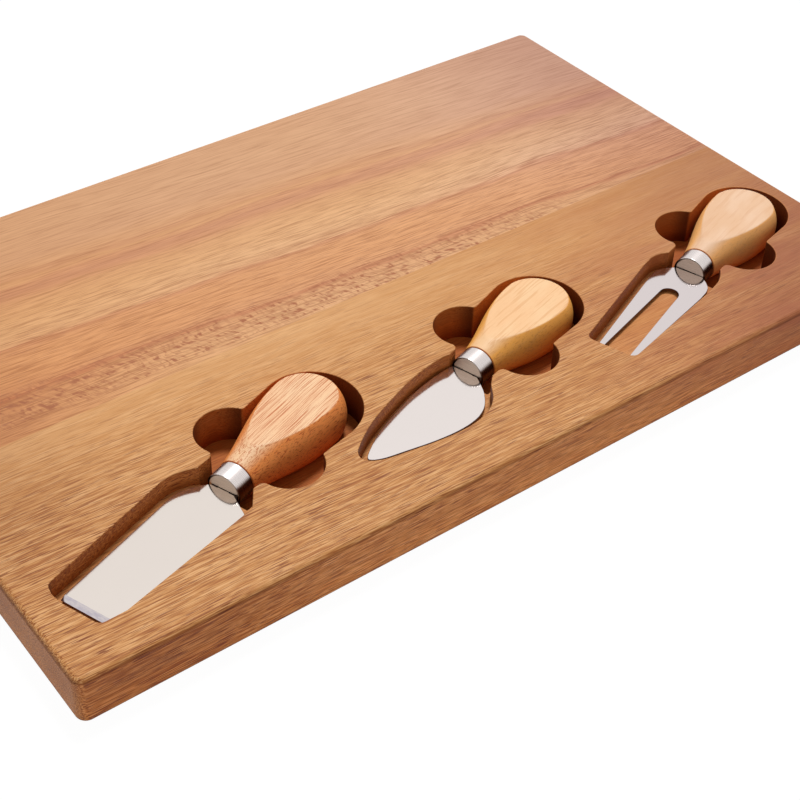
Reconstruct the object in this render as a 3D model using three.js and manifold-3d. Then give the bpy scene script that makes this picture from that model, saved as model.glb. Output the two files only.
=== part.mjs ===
// A serving board of two glued staves, with three cheese tools lying in pockets of the front stave.
// Millimetres, +Z up. The origin is the middle of the underside, +X runs along the board's long
// side and +Y from the front edge, beside the tools, to the rear edge.
import * as THREE from 'three';
import { mergeVertices } from 'three/addons/utils/BufferGeometryUtils.js';
import Module from 'manifold-3d';

const wasm = await Module();
wasm.setup();

// Board
const boardLength = 380;
const boardDepth = 240;
const boardThickness = 20;
const frontStaveDepth = 109;
const boardCornerRadius = 4;
const topEdgeRound = 2.4;
const undersideEdgeRound = 1.8;

// Pockets
const pocketTurn = THREE.MathUtils.degToRad(17);
const deepPocketDepth = 15.4;
const bladePocketDepth = 8;
const bladeClearance = 3;
const handleClearance = 3.1;
const scoopRadius = 12.5;
const scoopOffset = 14;
const scoopSetback = 0.5;
const channelRound = 2.5;
const scoopRound = 1.5;
const headFlare = 0.9;
const stepMargin = 1;

// Handles: a sphere that tapers to the ferrule, with a flat sawn off above and below
const handleRadius = 15.4;
const handleLowerFlat = 8.6;
const neckRadius = 7.4;
const neckSwell = 2.2;
const neckReach = 14;
const headReach = 16.5;
const boreDepth = 32;
const headDistance = 49;

// Ferrules
const ferruleRadius = 7.1;
const ferruleLength = 7.6;
const ferruleWall = 0.5;
const ferruleEndWall = 0.8;
const ferruleEdgeRound = 0.4;

// Blades
const bladeThickness = 1.2;
const tangWidth = 5;
const tangLength = 29;

// Fits and cuts
const jointGap = 0.3;
const restGap = 0.3;
const overrun = 5;

// Smoothness of the round shapes
const edgeSteps = 5;
const cornerSteps = 8;
const pocketArcSteps = 20;
const filletSteps = 6;
const lathSteps = 44;
const curveSteps = 10;

// Each tool's blade is drawn pointing ahead of its ferrule, with the far side of the board at plus.
// inset is from the board's front edge to the middle of the scoops, fromRight from its right edge.
// lie says where the tool has come to rest in its pocket, measured from the pocket's own axis.
const chisel = {
  name: 'chisel',
  outline: chiselOutline,
  inset: 57.3,
  fromRight: 276.75,
  bladeLength: 69.15,
  spineReach: 12.8,
  shoulderLength: 14,
  rootReach: 5.6,
  nearRootReach: 4.6,
  heelReach: 14.4,
  heelSetback: 6.4,
  tipReach: 8.6,
  bevelLength: 1.5,
  edgeThickness: 0.3,
  recessEnd: {
    beyond: 1.25,
    far: [[2.2, 1], [1, 0.84], [0.1, 0.51]],
    near: [[0, 0.79], [6.9, 1.07]],
  },
  headTrim: 0,
  handleUpperFlat: 9.3,
  headPocketDistance: 28.6,
  nearHeadRadius: 20.9,
  channel: { far: 10, near: 12 },
  recess: { along: -0.3, turn: THREE.MathUtils.degToRad(3.5), nearRootReach: 10.2 },
  lie: { along: 0.4, across: -0.25, turn: THREE.MathUtils.degToRad(3.5) },
  bladeSkew: 0,
  wood: 0xdf9a63,
};

const spade = {
  name: 'spade',
  outline: spadeOutline,
  inset: 56,
  fromRight: 169.8,
  bladeLength: 61.5,
  bladeWidth: 26.4,
  headTrim: 2.2,
  handleUpperFlat: 8.6,
  headPocketDistance: 28.3,
  nearHeadRadius: 19.4,
  channel: { far: 8.9, near: 10.8 },
  recess: { along: 0, turn: 0, nearRootReach: 8.3 },
  lie: { along: 3.1, across: 1.3, turn: THREE.MathUtils.degToRad(-0.6) },
  bladeSkew: 0,
  wood: 0xe6b070,
};

const fork = {
  name: 'fork',
  outline: forkOutline,
  inset: 55.1,
  fromRight: 51.75,
  bladeLength: 66.5,
  shoulderReach: 11.8,
  shoulderLength: 9,
  shoulderFlat: 5,
  rootReach: 6,
  tipReach: 7.6,
  slotSetback: 14.7,
  slotReach: 3.9,
  tipGapReach: 5.7,
  headTrim: 1.9,
  handleUpperFlat: 8.6,
  headPocketDistance: 26.8,
  nearHeadRadius: 18.5,
  channel: { far: 10.7, near: 11.5 },
  recess: { along: 0.2, turn: THREE.MathUtils.degToRad(1.5), nearRootReach: 9.3 },
  lie: { along: 0.5, across: 0.6, turn: THREE.MathUtils.degToRad(0.6) },
  bladeSkew: THREE.MathUtils.degToRad(1.4),
  wood: 0xe4b084,
};

const tools = [chisel, spade, fork];

// The spade's outline, ahead along its length and across its width: the far edge, tip and belly
const spadeFarShares = [[0, 0.25], [0.1, 0.3], [0.3, 0.33], [0.52, 0.295], [0.76, 0.22], [0.94, 0.09]];
const spadeTipShares = [[1, 0.01], [0.985, -0.07]];
const spadeBellyShares = [
  [0.93, -0.165], [0.81, -0.3], [0.65, -0.475], [0.5, -0.605],
  [0.37, -0.67], [0.26, -0.665], [0.17, -0.585], [0.08, -0.415], [0, -0.18],
];

// The ferrule's front face lies this far ahead of the middle of the scoops
const ferruleFront = 20.4;
const headPocketRadius = handleRadius + handleClearance;
const neckStart = ferruleLength + jointGap;
const toolHeight = boardThickness - deepPocketDepth + restGap + handleLowerFlat;

function solidOf(geometry) {
  const bare = geometry.clone();
  bare.deleteAttribute('normal');
  bare.deleteAttribute('uv');
  const merged = mergeVertices(bare);
  return new wasm.Manifold(new wasm.Mesh({
    numProp: 3,
    vertProperties: new Float32Array(merged.attributes.position.array),
    triVerts: new Uint32Array(merged.index.array),
  }));
}

function geometryOf(solid) {
  const mesh = solid.getMesh();
  const geometry = new THREE.BufferGeometry();
  geometry.setAttribute('position', new THREE.BufferAttribute(mesh.vertProperties, 3));
  geometry.setIndex(new THREE.BufferAttribute(mesh.triVerts, 1));
  geometry.computeVertexNormals();
  return geometry;
}

function meshOf(name, solid, color, roughness, metalness) {
  const material = new THREE.MeshStandardMaterial({ color, roughness, metalness });
  const mesh = new THREE.Mesh(geometryOf(solid), material);
  mesh.name = name;
  return mesh;
}

function arc(centreX, centreY, radius, fromAngle, toAngle, steps) {
  const points = [];
  for (let i = 0; i <= steps; i += 1) {
    const angle = fromAngle + (toAngle - fromAngle) * i / steps;
    const x = centreX + radius * Math.cos(angle);
    const y = centreY + radius * Math.sin(angle);
    points.push(new THREE.Vector2(x, y));
  }
  return points;
}

function prism(points, height) {
  return new THREE.ExtrudeGeometry(new THREE.Shape(points), { depth: height, bevelEnabled: false });
}

// A box given by its two opposite corners
function block(low, high) {
  const size = high.clone().sub(low);
  const middle = low.clone().add(high).multiplyScalar(0.5);
  return new THREE.BoxGeometry(size.x, size.y, size.z).translate(middle.x, middle.y, middle.z);
}

// Closed rings of equal length, one above the other, skinned and capped
function loft(rings) {
  const count = rings[0].length;
  const positions = rings.flat().flatMap((point) => [point.x, point.y, point.z]);
  const faces = [];
  for (let ring = 0; ring < rings.length - 1; ring += 1) {
    for (let i = 0; i < count; i += 1) {
      const a = ring * count + i;
      const b = ring * count + (i + 1) % count;
      faces.push(a, b, b + count, a, b + count, a + count);
    }
  }
  const last = (rings.length - 1) * count;
  for (let i = 1; i < count - 1; i += 1) {
    faces.push(0, i + 1, i, last, last + i, last + i + 1);
  }
  const geometry = new THREE.BufferGeometry();
  geometry.setAttribute('position', new THREE.Float32BufferAttribute(positions, 3));
  geometry.setIndex(faces);
  return geometry;
}

// The board's plan outline drawn in by an inset, at one height
function boardRing(inset, height) {
  const radius = boardCornerRadius - inset;
  const x = boardLength / 2 - boardCornerRadius;
  const y = boardDepth / 2 - boardCornerRadius;
  const quarter = Math.PI / 2;
  const corners = [[x, y], [-x, y], [-x, -y], [x, -y]];
  return corners.flatMap(([cornerX, cornerY], i) => (
    arc(cornerX, cornerY, radius, i * quarter, (i + 1) * quarter, cornerSteps)
      .map((point) => new THREE.Vector3(point.x, point.y, height))
  ));
}

function wholeBoard() {
  const lower = [];
  const upper = [];
  for (let i = 0; i <= edgeSteps; i += 1) {
    const angle = Math.PI / 2 * i / edgeSteps;
    const rise = 1 - Math.cos(angle);
    const draw = 1 - Math.sin(angle);
    lower.push(boardRing(undersideEdgeRound * draw, undersideEdgeRound * rise));
    upper.push(boardRing(topEdgeRound * draw, boardThickness - topEdgeRound * rise));
  }
  return solidOf(loft([...lower, ...upper.reverse()]));
}

// Half of the deep pocket: channel, finger scoop and the round end behind the handle
function deepPocketHalf(channelReach, headEnd, headRadius) {
  const side = headRadius - headFlare;
  const channelFilletY = channelReach + channelRound;
  const channelRun = Math.sqrt((scoopRadius + channelRound) ** 2 - (channelFilletY - scoopOffset) ** 2);
  const scoopFilletY = side + scoopRound;
  const scoopRun = Math.sqrt((scoopRadius + scoopRound) ** 2 - (scoopFilletY - scoopOffset) ** 2);
  const start = Math.PI - Math.asin((channelFilletY - scoopOffset) / (scoopRadius + channelRound));
  const leave = Math.atan2(scoopFilletY - scoopOffset, scoopRun);
  const channelFilletX = -scoopSetback - channelRun;
  const scoopFilletX = scoopRun - scoopSetback;
  return [
    new THREE.Vector2(-ferruleFront - stepMargin, channelReach),
    ...arc(channelFilletX, channelFilletY, channelRound, -Math.PI / 2, start - Math.PI, filletSteps),
    ...arc(-scoopSetback, scoopOffset, scoopRadius, start, leave, pocketArcSteps).slice(1, -1),
    ...arc(scoopFilletX, scoopFilletY, scoopRound, leave + Math.PI, 1.5 * Math.PI, filletSteps),
    ...arc(headEnd - headRadius, 0, headRadius, Math.PI / 2, 0, pocketArcSteps),
  ];
}

function deepPocketOutline(tool) {
  const headEnd = tool.headPocketDistance + headPocketRadius;
  const far = deepPocketHalf(tool.channel.far, headEnd, headPocketRadius);
  const near = deepPocketHalf(tool.channel.near, headEnd, tool.nearHeadRadius)
    .slice(0, -1).reverse().map((point) => new THREE.Vector2(point.x, -point.y));
  return [...far, ...near];
}

// An outline pushed outwards by a clearance, with its outer corners rounded
function grown(points, clearance) {
  const outline = THREE.ShapeUtils.area(points) > 0 ? points : points.slice().reverse();
  const count = outline.length;
  const result = [];
  for (let i = 0; i < count; i += 1) {
    const before = outline[(i + count - 1) % count];
    const here = outline[i];
    const after = outline[(i + 1) % count];
    const first = Math.atan2(here.y - before.y, here.x - before.x) - Math.PI / 2;
    const second = Math.atan2(after.y - here.y, after.x - here.x) - Math.PI / 2;
    const bend = Math.atan2(Math.sin(second - first), Math.cos(second - first));
    if (bend > Math.PI / 12) {
      result.push(...arc(here.x, here.y, clearance, first, first + bend, filletSteps));
    } else {
      const reach = clearance / Math.cos(bend / 2);
      result.push(...arc(here.x, here.y, reach, first + bend / 2, first + bend / 2, 1).slice(1));
    }
  }
  return result;
}

// Outlines in the tool's frame: the handle runs to plus X, so ahead is minus X. Each is drawn for
// the blade itself and, a little simpler, for the recess that is grown from it.
function ahead(distance, across) {
  return new THREE.Vector2(-distance, across);
}

function quarterCurve(from, corner, to) {
  return new THREE.QuadraticBezierCurve(from, corner, to).getPoints(curveSteps);
}

function chiselOutline(tool, forRecess) {
  const root = ahead(jointGap, tool.rootReach);
  const shoulder = ahead(tool.shoulderLength / 2, tool.spineReach);
  const spine = ahead(tool.shoulderLength, tool.spineReach);
  const nearRootReach = forRecess ? tool.recess.nearRootReach : tool.nearRootReach;
  // the recess ends rounder than the blade, by a way back from its end and a share of the blade's reach
  const end = tool.bladeLength + tool.recessEnd.beyond;
  const tip = forRecess
    ? [
      ...tool.recessEnd.far.map(([back, share]) => ahead(end - back, share * tool.spineReach)),
      ...tool.recessEnd.near.map(([back, share]) => ahead(end - back, -share * tool.tipReach)),
    ]
    : [ahead(tool.bladeLength, tool.spineReach), ahead(tool.bladeLength, -tool.tipReach)];
  return [
    ...quarterCurve(root, shoulder, spine),
    ...tip,
    ahead(tool.heelSetback, -tool.heelReach),
    ahead(jointGap, -nearRootReach),
  ];
}

function spadeOutline(tool, forRecess) {
  const run = tool.bladeLength - jointGap;
  const place = ([alongShare, acrossShare]) => (
    ahead(jointGap + run * alongShare, tool.bladeWidth * acrossShare)
  );
  const far = new THREE.SplineCurve([...spadeFarShares, ...spadeTipShares].map(place));
  const nearRoot = forRecess
    ? [[0, -tool.recess.nearRootReach / tool.bladeWidth]]
    : spadeBellyShares.slice(-1);
  const bellyShares = [...spadeTipShares.slice(-1), ...spadeBellyShares.slice(0, -1), ...nearRoot];
  const belly = new THREE.SplineCurve(bellyShares.map(place));
  return [...far.getPoints(2 * curveSteps), ...belly.getPoints(2 * curveSteps).slice(1)];
}

function forkSide(tool, rootReach) {
  return [
    ...quarterCurve(
      ahead(jointGap, rootReach),
      ahead(tool.shoulderLength / 2, tool.shoulderReach),
      ahead(tool.shoulderLength, tool.shoulderReach),
    ),
    ahead(tool.shoulderLength + tool.shoulderFlat, tool.shoulderReach),
    ahead(tool.bladeLength, tool.tipReach),
  ];
}

function forkOutline(tool, forRecess) {
  const far = forkSide(tool, tool.rootReach);
  const near = forkSide(tool, forRecess ? tool.recess.nearRootReach : tool.rootReach)
    .reverse().map((point) => new THREE.Vector2(point.x, -point.y));
  if (forRecess) {
    return [...far, ...near];
  }
  const slotEnd = -tool.slotSetback - tool.slotReach;
  const slot = [
    ahead(tool.bladeLength, tool.tipGapReach),
    ...arc(slotEnd, 0, tool.slotReach, Math.PI / 2, -Math.PI / 2, pocketArcSteps),
    ahead(tool.bladeLength, -tool.tipGapReach),
  ];
  return [...far, ...slot, ...near];
}

// The blade with the narrow tang that runs through the ferrule into the handle
function bladeSolid(tool) {
  const low = -bladeThickness / 2;
  const plate = solidOf(prism(tool.outline(tool, false), bladeThickness).translate(0, 0, low));
  const tang = solidOf(block(
    new THREE.Vector3(-tangWidth, -tangWidth / 2, low),
    new THREE.Vector3(tangLength, tangWidth / 2, -low),
  ));
  const blade = plate.add(tang);
  if (!tool.bevelLength) {
    return blade;
  }
  const edge = -tool.bladeLength;
  const top = -low;
  const grind = [
    new THREE.Vector2(edge + tool.bevelLength, top),
    new THREE.Vector2(edge, top - bladeThickness + tool.edgeThickness),
    new THREE.Vector2(edge - overrun, top - bladeThickness + tool.edgeThickness),
    new THREE.Vector2(edge - overrun, top + overrun),
    new THREE.Vector2(edge + tool.bevelLength, top + overrun),
  ];
  const width = 2 * (tool.heelReach + overrun);
  return blade.subtract(solidOf(prism(grind, width).rotateX(Math.PI / 2).translate(0, width / 2, 0)));
}

// The drawn steel cup, its closed end at X = 0, slotted for the tang
function ferruleSolid() {
  const inner = ferruleRadius - ferruleWall;
  const edge = arc(
    ferruleRadius - ferruleEdgeRound, ferruleEdgeRound, ferruleEdgeRound, -Math.PI / 2, 0, filletSteps,
  );
  const profile = [
    new THREE.Vector2(0, 0),
    ...edge,
    new THREE.Vector2(ferruleRadius, ferruleLength),
    new THREE.Vector2(inner, ferruleLength),
    new THREE.Vector2(inner, ferruleEndWall),
    new THREE.Vector2(0, ferruleEndWall),
  ];
  const cup = new THREE.LatheGeometry(profile, lathSteps).rotateZ(-Math.PI / 2);
  const slot = block(
    new THREE.Vector3(-overrun, -tangWidth / 2 - jointGap, -bladeThickness / 2 - jointGap),
    new THREE.Vector3(overrun, tangWidth / 2 + jointGap, bladeThickness / 2 + jointGap),
  );
  return solidOf(cup).subtract(solidOf(slot));
}

// The turned handle: a tenon inside the ferrule, the taper, and the round head with its two flats
function handleSolid(tool) {
  const headCentre = headDistance - tool.headTrim;
  const tenonRadius = ferruleRadius - ferruleWall - jointGap;
  const taper = new THREE.CubicBezierCurve(
    new THREE.Vector2(neckRadius, neckStart),
    new THREE.Vector2(neckRadius + neckSwell, neckStart + neckReach),
    new THREE.Vector2(handleRadius, headCentre - headReach),
    new THREE.Vector2(handleRadius, headCentre),
  );
  const head = arc(0, headCentre, handleRadius, 0, Math.PI / 2, curveSteps);
  const profile = [
    new THREE.Vector2(0, ferruleEndWall + jointGap),
    new THREE.Vector2(tenonRadius, ferruleEndWall + jointGap),
    new THREE.Vector2(tenonRadius, neckStart),
    ...taper.getPoints(curveSteps),
    ...head.slice(1, -1),
    new THREE.Vector2(0, headCentre + handleRadius),
  ];
  const turned = new THREE.LatheGeometry(profile, lathSteps).rotateZ(-Math.PI / 2);
  const keep = block(
    new THREE.Vector3(0, -handleRadius - overrun, -handleLowerFlat),
    new THREE.Vector3(headCentre + handleRadius + overrun, handleRadius + overrun, tool.handleUpperFlat),
  );
  const boreRadius = Math.hypot(tangWidth / 2, bladeThickness / 2) + 2 * jointGap;
  const bore = new THREE.CylinderGeometry(boreRadius, boreRadius, boreDepth, cornerSteps * 2);
  bore.rotateZ(Math.PI / 2).translate(boreDepth / 2, 0, 0).rotateZ(tool.bladeSkew);
  return solidOf(turned).intersect(solidOf(keep)).subtract(solidOf(bore));
}

// Everything cut for one tool, in the board's frame
function pocketCut(tool) {
  const deepFloor = boardThickness - deepPocketDepth;
  const deep = solidOf(
    prism(deepPocketOutline(tool), deepPocketDepth + overrun).translate(0, 0, deepFloor),
  );
  const bladeFloor = boardThickness - bladePocketDepth;
  const recess = prism(grown(tool.outline(tool, true), bladeClearance), bladePocketDepth + overrun)
    .rotateZ(tool.recess.turn)
    .translate(tool.recess.along - ferruleFront, 0, bladeFloor);
  const cut = deep.add(solidOf(recess));
  return cut
    .rotate([0, 0, THREE.MathUtils.radToDeg(pocketTurn)])
    .translate([boardLength / 2 - tool.fromRight, tool.inset - boardDepth / 2, 0]);
}

function staveSolid(fromY, toY) {
  const half = boardLength / 2 + overrun;
  const keep = block(
    new THREE.Vector3(-half, fromY, -overrun),
    new THREE.Vector3(half, toY, boardThickness + overrun),
  );
  return wholeBoard().intersect(solidOf(keep));
}

const glueLine = frontStaveDepth - boardDepth / 2;
const frontStave = tools.reduce(
  (stave, tool) => stave.subtract(pocketCut(tool)),
  staveSolid(-boardDepth / 2 - overrun, glueLine),
);
const rearStave = staveSolid(glueLine, boardDepth / 2 + overrun);

const group = new THREE.Group();
group.add(meshOf('front_stave', frontStave, 0xc98d54, 0.55, 0));
group.add(meshOf('rear_stave', rearStave, 0xbf7f4c, 0.55, 0));

for (const tool of tools) {
  const pocket = new THREE.Group();
  pocket.position.set(boardLength / 2 - tool.fromRight, tool.inset - boardDepth / 2, toolHeight);
  pocket.rotation.z = pocketTurn;

  const lying = new THREE.Group();
  lying.position.set(-ferruleFront + tool.lie.along, tool.lie.across, 0);
  lying.rotation.z = tool.lie.turn;

  const blade = meshOf(`${tool.name}_blade`, bladeSolid(tool), 0xd8d2cb, 0.22, 1);
  blade.rotation.z = tool.bladeSkew;
  lying.add(blade);
  lying.add(meshOf(`${tool.name}_ferrule`, ferruleSolid(), 0xc9c6c4, 0.25, 1));
  lying.add(meshOf(`${tool.name}_handle`, handleSolid(tool), tool.wood, 0.45, 0));
  pocket.add(lying);
  group.add(pocket);
}

export default group;
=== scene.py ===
import math

import bmesh
import bpy
import numpy as np
from mathutils import Matrix, Vector


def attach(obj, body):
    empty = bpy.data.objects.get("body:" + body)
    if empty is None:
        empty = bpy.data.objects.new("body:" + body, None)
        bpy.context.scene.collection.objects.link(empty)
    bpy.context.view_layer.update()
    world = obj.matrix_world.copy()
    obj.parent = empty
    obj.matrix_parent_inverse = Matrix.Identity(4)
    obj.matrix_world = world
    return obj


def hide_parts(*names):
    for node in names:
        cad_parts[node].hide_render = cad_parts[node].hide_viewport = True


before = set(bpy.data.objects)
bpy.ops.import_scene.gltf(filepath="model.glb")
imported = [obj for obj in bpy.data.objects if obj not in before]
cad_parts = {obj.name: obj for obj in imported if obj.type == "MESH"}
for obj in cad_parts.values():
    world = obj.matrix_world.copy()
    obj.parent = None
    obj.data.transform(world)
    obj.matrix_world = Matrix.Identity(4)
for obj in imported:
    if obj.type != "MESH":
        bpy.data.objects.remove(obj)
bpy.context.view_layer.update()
mm = 0.001
# points closer than these are taken as one, in metres
weldGap = 1e-7
mergeGap = 1e-5

# The board and the three cheese tools, all sizes in millimetres
board = {
    "length": 380,
    "depth": 240,
    "thickness": 20,
    "glueLine": -11,
    "cornerRadius": 4,
    "topRound": 2.4,
    "undersideRound": 1.8,
    "roundSteps": 9,
    "cornerSteps": 14,
    "sharpAngle": 34,
}

pocket = {
    "turn": 17,
    "deepDepth": 15.4,
    "bladeDepth": 8,
    "bladeClearance": 3,
    "headRadius": 18.5,
    "headFlare": 0.9,
    "channelRound": 2.5,
    "scoopRadius": 12.5,
    "scoopOffset": 14,
    "scoopSetback": 0.5,
    "scoopRound": 1.5,
    "stepMargin": 1,
    "ferruleFront": 20.4,
    "rimRound": 0.45,
    "rimSteps": 4,
    "rimLift": 0.004,
    "pointSpacing": 0.05,
    "restGap": 0.3,
    "overrun": 5,
    "arcSteps": 56,
    "filletSteps": 10,
}

handle = {
    "radius": 15.4,
    "lowerFlat": 8.6,
    "upperFlat": {"chisel": 9.3, "spade": 8.6, "fork": 8.6},
    "arris": {"chisel": 0.25, "spade": 0.5, "fork": 0.6},
    "neckRadius": 7.4,
    "neckSwell": 2.2,
    "neckReach": 14,
    "headReach": 16.5,
    "headDistance": 49,
    "shoulderRound": 0.15,
    "seamGap": 0.12,
    "tenonRadius": 6.3,
    "tenonStart": 1.1,
    "boreRadius": 3.4,
    "boreDepth": 32,
    "segments": 168,
    "sharpAngle": 40,
    "shoulderSteps": 4,
    "taperSteps": 64,
    "headSteps": 52,
}

ferrule = {
    "radius": 7.1,
    "length": 7.6,
    "wall": 0.5,
    "endWall": 0.8,
    "edgeRound": 0.25,
    "discRadius": 6.8,
    "discSink": 0.05,
    "grooveSink": 0.7,
    "grooveWidth": 0.55,
    "tailRound": 0.22,
    "slotHeight": 1.8,
    "slotWidth": 5.6,
    "arris": 0.1,
    "edgeSteps": 12,
    "tailSteps": 4,
    "segments": 144,
    "sharpAngle": 38,
}

blade = {
    "thickness": 1.2,
    "gap": 0.3,
    "tangWidth": 5,
    "tangLength": 29,
    "edgeRound": 0.14,
    "curveSteps": 26,
    "bevelSteps": 2,
    "bevelAngle": 40,
    "sharpAngle": 18,
}

tools = {
    "chisel": {
        "middle": (-86.75, -62.7),
        "bladeLength": 69.15,
        "spineReach": 12.8,
        "shoulderLength": 14,
        "rootReach": 5.6,
        "nearRootReach": 4.6,
        "heelReach": 14.4,
        "heelSetback": 6.4,
        "tipReach": 8.6,
        "bevelLength": 2.1,
        "edgeThickness": 0.3,
        "recessEnd": {
            "beyond": 1.25,
            "far": [(2.2, 1), (1, 0.84), (0.1, 0.51)],
            "near": [(0, 0.79), (6.9, 1.07)],
        },
        "headTrim": 0,
        "headPocketDistance": 28.6,
        "nearHeadRadius": 20.9,
        "channelReach": (10, 12),
        "recessAlong": -0.3,
        "recessTurn": 3.5,
        "recessNearRoot": 10.2,
        "lie": (0.4, -0.25),
        "lieTurn": 3.5,
        "bladeSkew": 0,
    },
    "spade": {
        "middle": (20.2, -64),
        "bladeLength": 61.5,
        "bladeWidth": 26.4,
        "farShares": [(0, 0.25), (0.1, 0.3), (0.3, 0.33), (0.52, 0.295), (0.76, 0.22), (0.94, 0.09)],
        "tipShares": [(1, 0.01), (0.985, -0.07)],
        "bellyShares": [(0.93, -0.165), (0.81, -0.3), (0.65, -0.475), (0.5, -0.605),
                        (0.37, -0.67), (0.26, -0.665), (0.17, -0.585), (0.08, -0.415), (0, -0.18)],
        "headTrim": 2.2,
        "headPocketDistance": 28.3,
        "nearHeadRadius": 19.4,
        "channelReach": (8.9, 10.8),
        "recessAlong": 0,
        "recessTurn": 0,
        "recessNearRoot": 8.3,
        "lie": (3.1, 1.3),
        "lieTurn": -0.6,
        "bladeSkew": 0,
    },
    "fork": {
        "middle": (138.25, -64.9),
        "bladeLength": 66.5,
        "shoulderReach": 11.8,
        "shoulderLength": 9,
        "shoulderFlat": 5,
        "rootReach": 6,
        "tipReach": 7.6,
        "slotSetback": 14.7,
        "slotReach": 3.9,
        "tipGapReach": 5.7,
        "headTrim": 1.9,
        "headPocketDistance": 26.8,
        "nearHeadRadius": 18.5,
        "channelReach": (10.7, 11.5),
        "recessAlong": 0.2,
        "recessTurn": 1.5,
        "recessNearRoot": 9.3,
        "lie": (0.5, 0.6),
        "lieTurn": 0.6,
        "bladeSkew": 1.4,
    },
}

bladeHeight = board["thickness"] - pocket["deepDepth"] + pocket["restGap"] + handle["lowerFlat"]


def screenColour(red, green, blue):
    # a colour as it looks on screen, 0 to 255, made linear
    shares = [((part / 255 + 0.055) / 1.055) ** 2.4 for part in (red, green, blue)]
    return (*shares, 1)


class Value:
    # one socket of a node tree; sums and products of these add Math nodes
    def __init__(self, graph, socket):
        self.graph = graph
        self.socket = socket

    def maths(self, operation, *others):
        return self.graph.maths(operation, self, *others)

    def also(self, name):
        return Value(self.graph, self.socket.node.outputs[name])

    def rise(self, low, high):
        # 0 below low, 1 above high, soft between
        return self.graph.node("ShaderNodeMapRange", {"interpolation_type": "SMOOTHSTEP"}, {
            "Value": self, "From Min": low, "From Max": high})

    def fall(self, low, high):
        return 1 - self.rise(low, high)

    def __add__(self, other):
        return self.maths("ADD", other)

    def __sub__(self, other):
        return self.maths("SUBTRACT", other)

    def __rsub__(self, other):
        return self.graph.maths("SUBTRACT", other, self)

    def __mul__(self, other):
        return self.maths("MULTIPLY", other)

    def __truediv__(self, other):
        return self.maths("DIVIDE", other)

    def __rtruediv__(self, other):
        return self.graph.maths("DIVIDE", other, self)

    __radd__ = __add__
    __rmul__ = __mul__


def named(sockets, key):
    if isinstance(key, int):
        return sockets[key]
    return next(one for one in sockets if key in (one.identifier, one.name))


class Graph:
    def __init__(self, tree):
        self.tree = tree

    def node(self, kind, settings=None, values=None, output=0):
        made = self.tree.nodes.new(kind)
        for name, setting in (settings or {}).items():
            if name == "stops":
                fillRamp(made.color_ramp, setting)
            else:
                setattr(made, name, setting)
        pairs = values.items() if isinstance(values, dict) else enumerate(values or [])
        for key, value in pairs:
            socket = named(made.inputs, key)
            if isinstance(value, Value):
                self.tree.links.new(value.socket, socket)
            else:
                socket.default_value = value
        return Value(self, named(made.outputs, output)) if made.outputs else None

    def maths(self, operation, *values):
        return self.node("ShaderNodeMath", {"operation": operation}, values)

    def noise(self, x, y, z, detail=2, roughness=0.5):
        place = self.node("ShaderNodeCombineXYZ", {}, [x, y, z])
        return self.node("ShaderNodeTexNoise", {}, {
            "Vector": place, "Scale": 1, "Detail": detail, "Roughness": roughness})

    def ramp(self, value, stops):
        return self.node("ShaderNodeValToRGB", {"stops": stops}, [value])

    def mixed(self, first, second, share, blend="MIX"):
        return self.node("ShaderNodeMix", {"data_type": "RGBA", "blend_type": blend}, {
            "Factor_Float": share, "A_Color": first, "B_Color": second}, output="Result_Color")

    def tinted(self, colour, tint, share):
        return self.mixed(colour, tint, share, "MULTIPLY")

    def painted(self, colour, paint, share):
        return self.mixed(colour, screenColour(*paint), share)

    def bump(self, look, height):
        return self.node("ShaderNodeBump", {}, {
            "Strength": look["relief"], "Distance": look["reliefDepth"], "Height": height})

    def placed(self, middle=(0, 0), height=0, turn=0):
        # object coordinates in millimetres, with X turned to run along the grain
        coordinates = self.node("ShaderNodeTexCoord", output="Object")
        moved = self.node("ShaderNodeMapping", {"vector_type": "TEXTURE"}, {
            "Vector": coordinates,
            "Location": (middle[0] * mm, middle[1] * mm, height * mm),
            "Rotation": (0, 0, math.radians(turn)),
            "Scale": (mm, mm, mm)})
        x = self.node("ShaderNodeSeparateXYZ", {}, [moved])
        return x, x.also("Y"), x.also("Z")

    def surface(self, values):
        shader = self.node("ShaderNodeBsdfPrincipled", {}, values)
        self.node("ShaderNodeOutputMaterial", {}, [shader])


def fillRamp(ramp, stops):
    while len(ramp.elements) < len(stops):
        ramp.elements.new(0.5)
    for element, (place, colour) in zip(ramp.elements, stops):
        element.position = place
        element.color = colour


def emptyGraph(owner):
    owner.use_nodes = True
    owner.node_tree.nodes.clear()
    return Graph(owner.node_tree)


def newMaterial(name):
    material = bpy.data.materials.new(name)
    return material, emptyGraph(material)


boardWood = {
    # how long and wide the marks of the grain are
    "fibre": (11, 0.42),
    "streak": (26, 1),
    "dash": (13, 0.4),
    "pore": (5, 0.42),
    "warp": (75, 26),
    "relief": 0.3,
    "reliefDepth": 0.00012,
    "roughness": 0.52,
    "roughnessSpread": 0.12,
    "specular": 0.2,
    "leftTint": (0.8, 0.76, 0.74, 1),
    "rightTint": (0.78, 0.72, 0.8, 1),
    "faceTint": (1.02, 0.83, 0.7, 1),
    "paintedBounceLightTint": (1.29, 1.07, 0.92, 1),
    "paintedShadeLeftFaceTint": (0.8, 0.7, 0.62, 1),
    "endTint": (0.78, 0.82, 0.95, 1),
    "paintedEdgeShadeTint": (0.62, 0.54, 0.46, 1),
    # where these tints, the painted shade and the painted bounce light set in, along, across and up the
    # board
    "leftEnd": (-190, -110),
    "rightEnd": (50, 170),
    "rightEndDelay": 30,
    "inward": (-100, -40),
    "paintedShadeLeftFaceEnd": (-170, -70),
    "paintedBounceLightFoot": (3, 11),
    "steep": (0.2, 0.8),
    "endTurn": (0.5, 0.9),
    "paintedEdgeShadeTurn": ((0.04, 0.3), (0.45, 0.8)),
    "edgeShadeStreakRise": (0.35, 0.6),
}

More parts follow.
